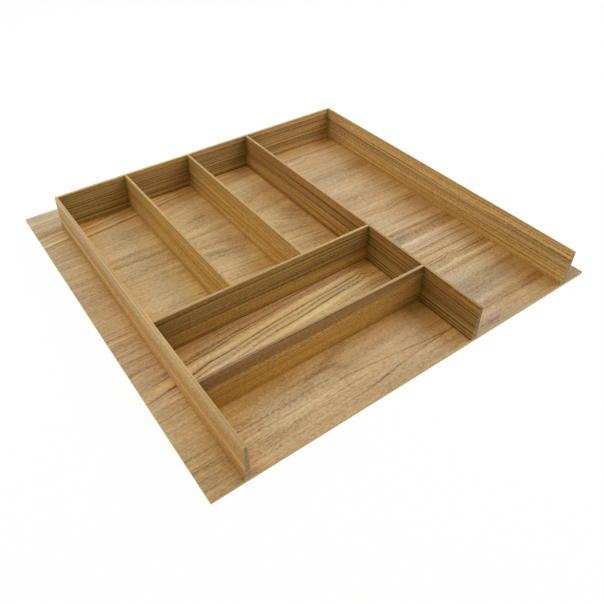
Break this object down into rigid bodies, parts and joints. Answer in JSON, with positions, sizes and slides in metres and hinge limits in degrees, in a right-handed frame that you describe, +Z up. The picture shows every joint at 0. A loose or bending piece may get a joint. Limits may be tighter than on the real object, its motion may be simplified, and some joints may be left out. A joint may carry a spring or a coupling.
{
  "type": "cutlery tray",
  "caption": "Shallow veneered wooden drawer tray with an open front and a flat rim, parted by tapered walls and dividers into compartments for cutlery.",
  "frame": {"origin": "centre of the underside", "axes": "+X along the front edge to the right, +Y to the back wall, +Z up"},
  "size_m": [0.5, 0.494, 0.0493],
  "materials": {
    "floor_veneer": "satin lacquered figured veneer, grain along the front edge",
    "strip_veneer": "satin lacquered straight-grained veneer, grain along each strip",
    "strip_core": "sawn end grain",
    "base_core": "sawn edge of a thin panel",
    "backing_veneer": "sanded plain veneer",
    "brad_steel": "bright drawn wire"
  },
  "bodies": {
    "root": {"base_core": "base_core", "base_face_veneer": "floor_veneer", "base_backing_veneer": "backing_veneer", "left_wall_core": "strip_core", "left_wall_veneer": "strip_veneer", "right_wall_core": "strip_core", "right_wall_veneer": "strip_veneer", "back_wall_core": "strip_core", "back_wall_veneer": "strip_veneer", "long_divider_core": "strip_core", "long_divider_veneer": "strip_veneer", "front_cross_divider_core": "strip_core", "front_cross_divider_veneer": "strip_veneer", "rear_cross_divider_core": "strip_core", "rear_cross_divider_veneer": "strip_veneer", "left_short_divider_core": "strip_core", "left_short_divider_veneer": "strip_veneer", "right_short_divider_core": "strip_core", "right_short_divider_veneer": "strip_veneer", "base_brads": "brad_steel"}
  },
  "joints": []
}
